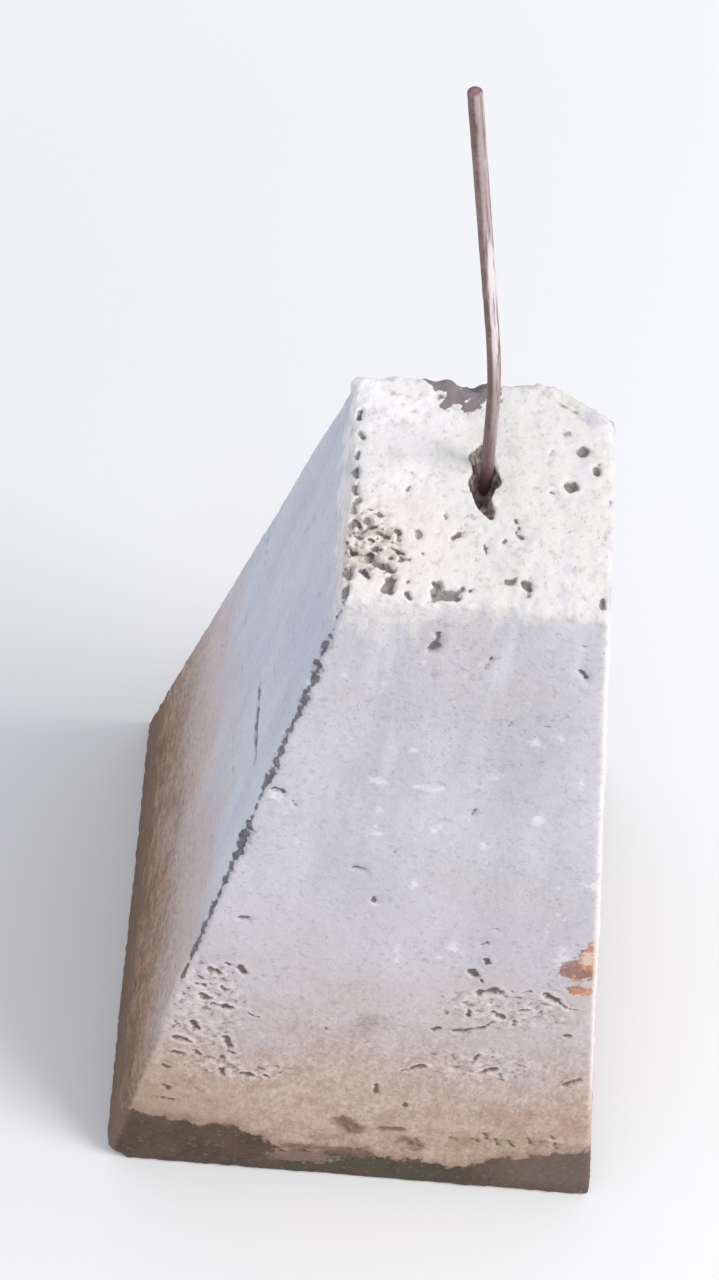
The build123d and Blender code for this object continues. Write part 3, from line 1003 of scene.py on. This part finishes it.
floor.data.materials.append(paint.material)
paint.tell("its fade to white")

# %% [markdown]
# The surround lights the scene softly from all round. One wide lamp from the upper right gives
# the top its brightness and the left side its shade, with a soft edge to every shadow.

# %% World and lamp
soft_light, soft_tint = 0.75, (0.94, 0.97, 1.03, 1)
lamp_place, lamp_aim = Vector((1.9, -0.6, 2.6)), Vector((0, 0, 0.35))

world = bpy.data.worlds.new("surround")
bpy.context.scene.world = world
world.use_nodes = True
sky = world.node_tree
sky.nodes.clear()
choose = sky.nodes.new("ShaderNodeMixShader")
sky.links.new(looked_at(sky), choose.inputs[0])
for number, tint, strength in ((1, soft_tint, soft_light), (2, (1, 1, 1, 1), 1.0)):
    light = sky.nodes.new("ShaderNodeBackground")
    light.inputs["Color"].default_value = tint
    light.inputs["Strength"].default_value = strength
    sky.links.new(light.outputs[0], choose.inputs[number])
out = sky.nodes.new("ShaderNodeOutputWorld")
sky.links.new(choose.outputs[0], out.inputs["Surface"])

lamp_data = bpy.data.lights.new("key", "AREA")
lamp_data.shape = "DISK"
lamp_data.size = 1.5
lamp_data.energy = 56
lamp_data.color = (1.0, 0.975, 0.95)
lamp = bpy.data.objects.new("key", lamp_data)
bpy.context.scene.collection.objects.link(lamp)
lamp.location = lamp_place
lamp.rotation_euler = (lamp_aim - lamp_place).to_track_quat("-Z", "Y").to_euler()

bpy.context.scene.view_settings.view_transform = "Standard"
print("lamp", lamp_data.energy, "watts,", lamp_data.size, "metres wide")

# %% [markdown]
# ## The concrete's finish
#
# The layers, from the first to the last: grey cement skin with cloudy washes, thin vertical
# streaks and a painted bluish shade on the left side, pale chips and grains, a chalky white top
# that is partly painted light, tan soil stain on the lower third, a dark damp foot, a rust stain,
# a painted highlight on the right edge, and dirt with painted shade in the hollows and on the
# broken edges.

# %% Concrete: cement skin
c = Recipe("weathered_concrete")
px, py, pz = c.parts()
washes = c.noise(0.045, rough=0.55, where=c.mapped((1, 1, 0.2)))
clouded = c.noise(0.1)
mottle = c.noise(0.006, rough=0.6)
colour = c.mix(c.span(washes, 0.36, 0.64), rgb(202, 199, 206), rgb(217, 213, 219))
colour = c.coat(colour, c.span(clouded, 0.48, 0.72), 0.5, rgb(208, 203, 200))
colour = c.coat(colour, c.span(mottle, 0.42, 0.7), 0.22, rgb(182, 178, 181))
drips = c.noise(0.012, detail=3, where=c.mapped((1, 1, 0.05)))
drip_mask = c.times(c.span(drips, 0.55, 0.7), c.span(pz, 0.28, 0.5))
colour = c.coat(colour, drip_mask, 0.55, rgb(228, 226, 230))
colour = c.coat(colour, c.span(pz, 0.36, 0.22), 0.6, rgb(211, 203, 205))
# Painted shade: a bluish tone on the left side, for the cool light on a face turned from the lamp.
left_streaks = c.noise(0.02, where=c.mapped((1, 1, 0.12)))
left_shade_tone = c.mix(c.span(left_streaks, 0.3, 0.7), rgb(202, 207, 221), rgb(215, 218, 229))
left_side = c.attribute("left_side")
colour = c.coat(colour, left_side, 0.85, left_shade_tone)
c.tell("its cement skin")

# %% [markdown]
# Where the cement skin has flaked, the paler core shows. The larger chips are placed by the
# attribute, with their edges made ragged by noise, and small pale grains are strewn in groups.

# %% Concrete: pale chips, placed and scattered
edge_noise = c.ragged(0.0035, 0.3)
chip_noise = c.ragged(0.004, 0.22, detail=3)
chips = c.span(c.plus(c.attribute("pale"), chip_noise), 0.18, 0.95)
grains = c.spots(0.01, where=c.mapped((1, 1, 0.8)))
grain_mask = c.times(c.span(grains, 0.19, 0.07), c.patches(0.04, 0.55, 0.62, detail=3))
chips = c.larger(c.times(chips, 0.85), c.times(grain_mask, 0.5))
colour = c.mix(chips, colour, rgb(240, 238, 240))
c.tell("chips")

# %% [markdown]
# The top is the brightest part: lime has come to the surface and dried as a white bloom, and the
# top is also painted lighter as painted light, for the light it catches, most of all towards its
# back left. It ends in a ragged edge just below the rim. The honeycombed patch is creamier than
# the rest.

# %% Concrete: chalky top, partly painted light
ragged_edge = c.ragged(0.014, 0.014, detail=5, rough=0.6, where=c.mapped((1, 1, 0.45)))
top_level = c.plus(pz, ragged_edge, c.span(px, -0.035, 0.005, 0.007, -0.004))
chalk_and_top_light = c.span(top_level, height - 0.016, height + 0.001)
# Painted light: the top is lighter towards the back left and greyer towards the right.
lit_back_left_chalk = c.mix(c.span(py, -0.025, 0.03), rgb(236, 231, 230), rgb(248, 244, 245))
chalk_and_light_tone = c.mix(c.span(px, -0.05, 0.015), lit_back_left_chalk, rgb(223, 220, 218))
grey_chalk = c.times(c.patches(0.028, 0.4, 0.62, detail=5), c.span(px, -0.04, 0.01, 0.3, 0.8))
chalk_and_light_tone = c.mix(grey_chalk, chalk_and_light_tone, rgb(222, 218, 212))
chalk_and_light_tone = c.coat(chalk_and_light_tone, c.patches(0.007, 0.5, 0.7, detail=5), 0.35, rgb(205, 201, 194))
colour = c.mix(chalk_and_top_light, colour, chalk_and_light_tone)
comb = c.attribute("combed")
comb_tone = c.mix(c.patches(0.004, 0.4, 0.6), rgb(238, 230, 222), rgb(213, 199, 188))
cream = c.times(c.span(c.ball((-0.042, -0.03, 0.555), (0.045, 0.034, 0.03)), 0.0, 0.5), 0.35)
colour = c.mix(cream, colour, rgb(236, 226, 214))
colour = c.coat(colour, c.span(comb, 0.1, 0.9), 0.8, comb_tone)
c.tell("a chalky top")

# %% [markdown]
# Soil splashes up in the rain. The stain fades upwards, is speckled at the size of sand
# grains, and runs down in streaks on the right half of the front.

# %% Concrete: soil stain
soil_noise = c.ragged(0.06, 0.035, detail=6, rough=0.6)
below_soil = c.minus(c.attribute("soil_top"), c.plus(pz, soil_noise))
soil = c.span(below_soil, -0.045, 0.15)
soil_tone = c.mix(c.patches(0.018, 0.38, 0.62, detail=6, rough=0.62), rgb(217, 193, 177),
                  rgb(198, 169, 150))
soil_tone = c.coat(soil_tone, c.span(pz, 0.1, 0.2), 0.7, rgb(206, 190, 186))
upright = c.mapped((1, 1, 0.5))
speckle = c.patches(0.0028, 0.4, 0.62, rough=0.6, where=upright)
soil_tone = c.coat(soil_tone, speckle, 0.38, rgb(146, 122, 106))
bright_speckle = c.patches(0.0034, 0.58, 0.7, detail=3, where=upright)
soil_tone = c.coat(soil_tone, bright_speckle, 0.5, rgb(230, 216, 205))
runs = c.noise(0.006, rough=0.6, where=c.mapped((1, 1, 0.07)))
runs_share = c.times(c.span(px, -0.01, 0.05), c.span(pz, 0.2, 0.14))
soil_tone = c.mix(c.times(c.span(runs, 0.45, 0.3), c.times(runs_share, 0.45)), soil_tone,
                  rgb(160, 135, 120))
soil_tone = c.mix(c.times(c.span(runs, 0.55, 0.7), c.times(runs_share, 0.5)), soil_tone,
                  rgb(224, 209, 199))
left_foot = c.times(c.span(px, -0.05, -0.105), c.span(pz, 0.125, 0.075))
soil_tone = c.coat(soil_tone, left_foot, 0.6, rgb(182, 154, 130))
soil_share = c.minus(0.95, c.times(left_side, 0.55))
colour = c.mix(c.times(soil, soil_share), colour, soil_tone)
low_stain = c.times(c.span(pz, 0.15, 0.05), 0.22)
colour = c.mix(low_stain, colour, rgb(176, 144, 120))
c.tell("soil")

# %% [markdown]
# The left side is out of the light and dries slowly. It is bluer than the front, a painted
# shade laid on with the cement skin, and darker, turning mauve and then brown towards the
# ground.

# %% Concrete: the left side darkens towards its foot
grime_noise = c.patches(0.035, 0.35, 0.65, -0.018, 0.018, detail=6, where=c.mapped((1, 1, 0.35)))
grime_level = c.plus(pz, grime_noise)
mauve = c.times(c.span(grime_level, 0.36, 0.19), left_side, 0.8)
colour = c.mix(mauve, colour, rgb(205, 186, 178))
brown = c.times(c.span(grime_level, 0.22, 0.06), left_side, 0.85)
ochre = c.mix(c.patches(0.011, 0.36, 0.64, detail=5, rough=0.6), rgb(116, 86, 60),
              rgb(176, 142, 106))
colour = c.mix(brown, colour, ochre)
foot_brown = c.times(c.span(grime_level, 0.1, 0.0), left_side, 0.8)
colour = c.mix(foot_brown, colour, rgb(92, 78, 62))
left_low = c.times(c.span(grime_level, 0.3, 0.12), left_side)
colour = c.coat(colour, c.times(speckle, left_low), 0.36, rgb(84, 64, 50))
colour = c.coat(colour, c.times(bright_speckle, left_low), 0.48, rgb(186, 165, 138))
left_mark = c.plus(c.attribute("left_mark"), c.times(edge_noise, 0.7))
colour = c.mix(c.span(left_mark, 0.15, 0.75, 0.0, 0.85), colour, rgb(118, 116, 130))
c.tell("a dark left foot")

# %% [markdown]
# The lowest few centimetres stood in wet soil. The edge of that band is sharp and wanders up
# and down, so it is stored as an attribute. A little green grows in it, and in one place its
# crust has flaked off.

# %% Concrete: damp foot
left_edge = c.times(left_side, c.patches(0.03, 0.3, 0.7, -22, 16, detail=5))
above = c.plus(c.attribute("above_damp"), left_edge,
               c.ragged(0.01, 4.5, detail=6, rough=0.65, where=c.mapped((1, 1, 0.6))))
stained = c.span(c.plus(c.attribute("stain"), c.times(edge_noise, 0.5)), 0.05, 0.9)
lip = c.times(c.span(above, 13, 1), 0.6)
colour = c.mix(lip, colour, rgb(160, 132, 116))
moss = c.times(c.span(c.ball((0.076, -0.142, 0.045), (0.04, 0.04, 0.034)), 0.05, 0.45),
               c.patches(0.006, 0.35, 0.65))
colour = c.coat(colour, moss, 0.5, rgb(172, 154, 116))
damp = c.span(above, 1.8, -2.2)
damp = c.times(damp, c.minus(1.0, c.times(left_side, 0.55)))
damp_tone = c.mix(c.patches(0.028, 0.38, 0.62, detail=6), rgb(94, 75, 59), rgb(76, 62, 48))
damp_tone = c.coat(damp_tone, c.span(px, 0.06, 0.11), 0.7, rgb(118, 102, 92))
green_share = c.times(c.patches(0.03, 0.4, 0.6),
                      c.span(c.ball((0.005, -0.15, 0.005), (0.08, 0.05, 0.034)), 0.05, 0.5))
damp_tone = c.coat(damp_tone, green_share, 0.75, rgb(74, 78, 58))
damp_tone = c.coat(damp_tone, c.span(pz, 0.02, 0.004), 0.45, rgb(78, 67, 58))
colour = c.mix(damp, colour, damp_tone)
flaked = c.span(c.plus(c.ball((-0.03, -0.149, 0.023), (0.034, 0.02, 0.013)),
                       c.times(edge_noise, 0.6)), 0.25, 0.5)
colour = c.coat(colour, flaked, 0.65, rgb(152, 128, 117))
colour = c.coat(colour, stained, 0.85, rgb(136, 104, 91))
c.tell("a damp foot")

# %% [markdown]
# A piece of wire close under the right edge has rusted and stained the concrete over it. Soft
# balls give the stain its place, its darker parts and its pale core, which is partly a painted
# highlight, and noise gives it a broken outline.

# %% Concrete: rust from a buried wire on the right edge, and a painted highlight along that edge
rust_ball = c.larger(c.ball((0.102, -0.107, 0.27), (0.013, 0.018, 0.034)),
                     c.larger(c.ball((0.096, -0.107, 0.26), (0.013, 0.018, 0.018)),
                              c.ball((0.102, -0.11, 0.24), (0.012, 0.018, 0.007))))
rust_noise = c.ragged(0.0048, 0.26, rough=0.6)
rust_mask = c.times(c.span(c.plus(rust_ball, rust_noise), 0.26, 0.46),
                    c.span(rust_ball, 0.0, 0.15))
rust_shade = c.plus(px, c.ragged(0.01, 0.006))
rust_tone = c.mix(c.span(rust_shade, 0.092, 0.101), rgb(158, 106, 102), rgb(206, 138, 98))
rust_tone = c.coat(rust_tone, c.patches(0.005, 0.5, 0.62, detail=3), 0.7, rgb(226, 186, 150))
dark_rust = c.larger(c.ball((0.092, -0.107, 0.262), (0.008, 0.018, 0.015)),
                     c.ball((0.101, -0.109, 0.256), (0.009, 0.018, 0.008)))
dark_rust = c.span(c.plus(dark_rust, c.times(edge_noise, 0.6)), 0.1, 0.45)
rust_tone = c.coat(rust_tone, dark_rust, 0.8,
                   c.mix(c.span(px, 0.094, 0.099), rgb(150, 106, 106), rgb(134, 96, 76)))
# The pale core is partly a painted highlight, where the stain meets the lit edge.
rust_core_highlight = c.span(c.plus(c.ball((0.0995, -0.109, 0.272), (0.006, 0.018, 0.011)), edge_noise),
                   0.15, 0.5)
rust_tone = c.coat(rust_tone, rust_core_highlight, 0.8, rgb(236, 214, 196))
colour = c.coat(colour, rust_mask, 0.9, rust_tone)
# Painted highlight: a thin bright line down the right front edge.
colour = c.coat(colour, c.attribute("painted_rim_highlight"), 0.85, rgb(243, 236, 231))
c.tell("rust")

# %% [markdown]
# Dirt comes last, as it does on the real block. It fills the hollows and the carved marks,
# darkens the broken arris, and lies in the hollow round the bar. The darkening in the hollows,
# the marks and the broken arris is dirt and painted shade together. The grey patch and the dark
# places in the hollow round the bar are painted shade alone, and the crests round the crumbly
# clusters get a painted highlight.

# %% Concrete: dirt and painted shade in hollows, broken strip, grey patch and hollow at the bar
hollow = c.attribute("hollow")
# Painted highlight: the crests round the crumbly clusters are lightened, as if they caught the
# light.
raised_highlight = c.times(c.span(hollow, -0.05, -0.3), c.attribute("crumbly_share"))
colour = c.coat(colour, raised_highlight, 0.6, rgb(230, 219, 214))
# Dirt and painted shade: the hollows and the carved marks are darkened.
dirt_and_shade_noise = c.ragged(0.0026, 0.26)
dirt_and_shade_noise = c.times(dirt_and_shade_noise, c.span(pz, 0.26, 0.32, 0.8, 0.42))
crumb_specks = c.times(c.patches(0.0046, 0.54, 0.66, 0.0, 0.5, detail=3, rough=0.6),
                       c.attribute("crumbly_share"))
dirt_and_shade = c.plus(hollow, dirt_and_shade_noise, crumb_specks)
dirt_and_shade = c.span(dirt_and_shade, c.span(pz, 0.26, 0.32, 0.12, 0.17), 0.8)
carved_edge = c.plus(c.attribute("carved"), c.times(edge_noise, 0.5))
dirt_and_shade = c.larger(dirt_and_shade, c.span(carved_edge, 0.22, 0.8, 0.0, 0.85))
dirt_and_shade_tone = c.mix(c.span(pz, 0.16, 0.3), rgb(132, 112, 101), rgb(124, 117, 120))
top_dirt_and_shade = c.mix(c.patches(0.005, 0.35, 0.65), rgb(94, 88, 84), rgb(136, 130, 128))
dirt_and_shade_tone = c.mix(c.span(pz, 0.535, 0.552), dirt_and_shade_tone, top_dirt_and_shade)
dirt_and_shade_share = c.minus(0.92, c.times(comb, 0.14))
colour = c.mix(c.times(dirt_and_shade, dirt_and_shade_share), colour, dirt_and_shade_tone)
# The broken arris is dark with dirt and with painted shade, as its broken faces turn from the
# light.
strip_noise = c.ragged(0.005, 0.35)
strip = c.span(c.plus(c.attribute("spalled"), strip_noise), 0.25, 0.6)
strip_tone = c.mix(c.patches(0.0035, 0.35, 0.65), rgb(96, 93, 100), rgb(134, 130, 137))
strip_tone = c.mix(c.span(pz, 0.26, 0.18), strip_tone, rgb(116, 100, 90))
colour = c.coat(colour, strip, 0.92, strip_tone)
# Painted shade: a dark grey patch on the broken back edge of the top.
patch = c.span(c.plus(c.attribute("grey_patch"), edge_noise), 0.4, 0.55)
colour = c.coat(colour, patch, 0.9, rgb(115, 105, 108))
bar_hollow = c.plus(c.attribute("bar_hollow"), c.times(edge_noise, 0.35))
gravel = c.mix(c.patches(0.0026, 0.4, 0.6, detail=5, rough=0.6), rgb(196, 184, 178),
               rgb(112, 98, 95))
colour = c.mix(c.span(bar_hollow, 0.06, 0.22, 0.0, 0.92), colour, gravel)
crumbs = c.mix(c.patches(0.003, 0.38, 0.62), rgb(236, 221, 216), rgb(170, 149, 143))
colour = c.mix(c.span(bar_hollow, 0.75, 1.0, 0.0, 0.8), colour, crumbs)
# Painted shade on the hollow's left wall and round the bar's foot.
colour = c.coat(colour, c.attribute("hollow_shade"), 0.88, rgb(62, 48, 50))
c.feed(colour, c.shader.inputs["Base Color"])
c.tell("dirt_and_shade")

# %% [markdown]
# Bumps too small for the mesh come from the shader: sand everywhere, small pores in groups,
# and a rougher grain towards the foot. Dry concrete is very rough, and damp concrete a little
# less so.

# %% Concrete: roughness and fine relief
roughness = c.patches(0.01, 0.3, 0.7, 0.84, 0.96)
c.feed(c.minus(roughness, c.times(damp, 0.18)), c.shader.inputs["Roughness"])
c.shader.inputs["Specular IOR Level"].default_value = 0.3

sand = c.noise(0.0014, detail=3, rough=0.6)
pores = c.span(c.spots(0.0055), 0.08, 0.2)
pore_share = c.patches(0.03, 0.45, 0.65, detail=2)
normal = c.bump(sand, 0.00022)
normal = c.bump(c.larger(pores, c.minus(1.0, pore_share)), 0.0004, under=normal)
weather = c.span(pz, 0.26, 0.11, 0.35, 1.0)
normal = c.bump(c.times(weather, c.noise(0.0045, rough=0.65)), 0.0018, under=normal)
c.feed(normal, c.shader.inputs["Normal"])
c.tell("relief")
block.data.materials.clear()
block.data.materials.append(c.material)
only(block)
bpy.ops.object.shade_smooth()

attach(block, "root")
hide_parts("concrete_block")

# %% [markdown]
# ## The tie bar
#
# A plain round bar was cast in and later knocked over a little. It is one disc, pushed along
# its own line: straight out of the concrete, round a slow bend, and straight again to the
# free end. Extrude makes the straight runs, Spin the bend.

# %% Bar lines
bar_radius = 0.003
bar_foot = Vector((0.002, 0.011, 0.550))
bar_heading = radians(172)


def leaning(angle):
    return Vector((sin(angle) * cos(bar_heading), sin(angle) * sin(bar_heading), cos(angle)))


lower_lean, bend_angle = radians(5.3), radians(5.8)
lower_line, upper_line = leaning(lower_lean), leaning(lower_lean + bend_angle)
buried, corner_level, upper_run, bend_radius = 0.300, 0.079, 0.175, 0.600
bend_reach = bend_radius * tan(bend_angle / 2)
bar_start = bar_foot - lower_line * buried
bend_start = bar_foot + lower_line * (corner_level - bend_reach)
sideways = (upper_line - lower_line * upper_line.dot(lower_line)).normalized()
bend_centre = bend_start + sideways * bend_radius
bend_axis = lower_line.cross(upper_line).normalized()
free_end = bar_foot + lower_line * corner_level + upper_line * upper_run
print("bar from", tuple(bar_start), "to", tuple(free_end))

# %% [markdown]
# The disc at the bar's lower end is pushed up its first straight run, spun through the bend
# and pushed on to the free end. Without a window Spin turns the other way, so its angle is
# negative. The cut end gets a narrow bevel, and a fine cloud layer gives the rolled surface
# its scale.

# %% Bar
bar_sides, buried_steps, bend_steps, free_steps, end_bevel = 20, 70, 12, 40, 0.0004
scale_size, scale_depth = 0.006, 0.00025
bpy.ops.mesh.primitive_circle_add(
    vertices=bar_sides, radius=bar_radius, fill_type="NGON", location=bar_start,
    rotation=lower_line.to_track_quat("Z", "Y").to_euler())
bar = bpy.context.object
bar.name = "rusty_bar"
settle(bar)
edit(bar, picked="SELECT")


def push(line, length, steps):
    for _ in range(steps):
        bpy.ops.mesh.extrude_region_move(
            TRANSFORM_OT_translate={"value": line * (length / steps)})


def pick_end(place):
    """Selects only the face whose middle is nearest to a place."""
    bpy.ops.mesh.select_all(action="DESELECT")
    mesh = bmesh.from_edit_mesh(bar.data)
    mesh.faces.ensure_lookup_table()
    end = min(mesh.faces, key=lambda f: (f.calc_center_median() - place).length)
    end.select_set(True)
    bmesh.update_edit_mesh(bar.data)
    print("end face at", tuple(round(v, 4) for v in end.calc_center_median()))


bend_end = bar_foot + lower_line * corner_level + upper_line * bend_reach
push(lower_line, (bend_start - bar_start).length, buried_steps)
pick_end(bend_start)
bpy.ops.mesh.spin(steps=bend_steps, angle=-bend_angle, center=bend_centre, axis=bend_axis)
pick_end(bend_end)
push(upper_line, upper_run - bend_reach, free_steps)
pick_end(free_end)
bpy.ops.mesh.bevel(offset=end_bevel, segments=2, affect="EDGES")
bpy.ops.mesh.select_all(action="SELECT")
bpy.ops.mesh.remove_doubles(threshold=1e-6)
bpy.ops.mesh.normals_make_consistent(inside=False)
leave()
apply(bar, "DISPLACE", texture=clouds("scale_lumps", scale_size), strength=scale_depth,
      mid_level=0.5, texture_coords="LOCAL")
bar_places = vertex_places(bar)
print("bar highest", bar_places[:, 2].max(), "free end", free_end.z)

# %% [markdown]
# Marks on a bar run along it, and the bar is bent, so plain coordinates would run across it.
# Each vertex is given its own place on a straightened bar instead: how far it is from the
# centre line in two directions, and how far along the line it lies.

# %% Places along the straightened bar
low, side, out_of_bend = (np.array(v) for v in (lower_line, sideways, bend_axis))
from_centre = bar_places - np.array(bend_centre)
swept = np.clip(np.arctan2(from_centre @ low, -(from_centre @ side)), 0, bend_angle)[:, None]
reach_out = low * np.sin(swept) - side * np.cos(swept)
onward = low * np.cos(swept) + side * np.sin(swept)
centre_line = np.array(bend_centre) + reach_out * bend_radius
straight = ((bar_places - centre_line) * onward).sum(1)
off_line = bar_places - centre_line - straight[:, None] * onward
unrolled = np.stack([-(off_line * reach_out).sum(1), off_line @ out_of_bend,
                     straight + swept[:, 0] * bend_radius], 1)
place_on_bar = bar.data.attributes.new("bar_place", "FLOAT_VECTOR", "POINT")
place_on_bar.data.foreach_set("vector", unrolled.astype(np.float32).ravel())
print("along the bar from", unrolled[:, 2].min(), "to", unrolled[:, 2].max())

# %% [markdown]
# The bar is brown with thin rust and darker at its foot. Along one side near the middle it is
# rubbed to bare metal and painted with a highlight, in streaks that run along it.

# %% Rust material
r = Recipe("bar_rust")
r.places = r.node("ShaderNodeAttribute", attribute_name="bar_place")["Vector"]
across, facing, along = r.parts()
tone = r.noise(0.007, detail=6, rough=0.65, where=r.mapped((1, 1, 0.45)))
rust_colour = r.mix(r.span(tone, 0.35, 0.65), rgb(120, 90, 86), rgb(152, 122, 119))
rust_colour = r.coat(rust_colour, r.patches(0.0022, 0.52, 0.68), 0.6, rgb(102, 72, 63))
rust_colour = r.coat(rust_colour, r.span(along, 0.07, 0.03), 0.45, rgb(104, 84, 80))
# Painted highlight: near-white streaks on the lit side stand for a glint, on a rubbed, more
# metallic stretch.
streaks = r.noise(0.0022, rough=0.6, where=r.mapped((1, 1, 0.045)))
lit_side = r.minus(r.times(facing, 0.65 / bar_radius), r.times(across, 0.75 / bar_radius))
rubbed_glint_length = r.times(r.span(along, 0.02, 0.055), r.span(along, 0.15, 0.105))
rubbed_glint_length = r.plus(r.times(rubbed_glint_length, 0.65), 0.35)
rubbed_glint = r.times(rubbed_glint_length, r.times(r.span(lit_side, 0.47, 0.8), r.span(streaks, 0.4, 0.54)))
rubbed_glint = r.times(rubbed_glint, r.span(along, -0.045, 0.0))
rust_colour = r.mix(rubbed_glint, rust_colour, rgb(240, 231, 232))
r.feed(rust_colour, r.shader.inputs["Base Color"])
r.feed(r.span(rubbed_glint, 0, 1, 0.62, 0.34), r.shader.inputs["Roughness"])
r.feed(r.span(rubbed_glint, 0, 1, 0.05, 0.55), r.shader.inputs["Metallic"])
normal = r.bump(r.noise(0.001), 0.00012)
r.feed(r.bump(r.noise(0.004, detail=3), 0.00035, under=normal), r.shader.inputs["Normal"])
r.tell("its rust")
bar.data.materials.clear()
bar.data.materials.append(r.material)
only(bar)
bpy.ops.object.shade_smooth_by_angle(angle=sharp_angle)

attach(bar, "root")
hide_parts("tie_bar")
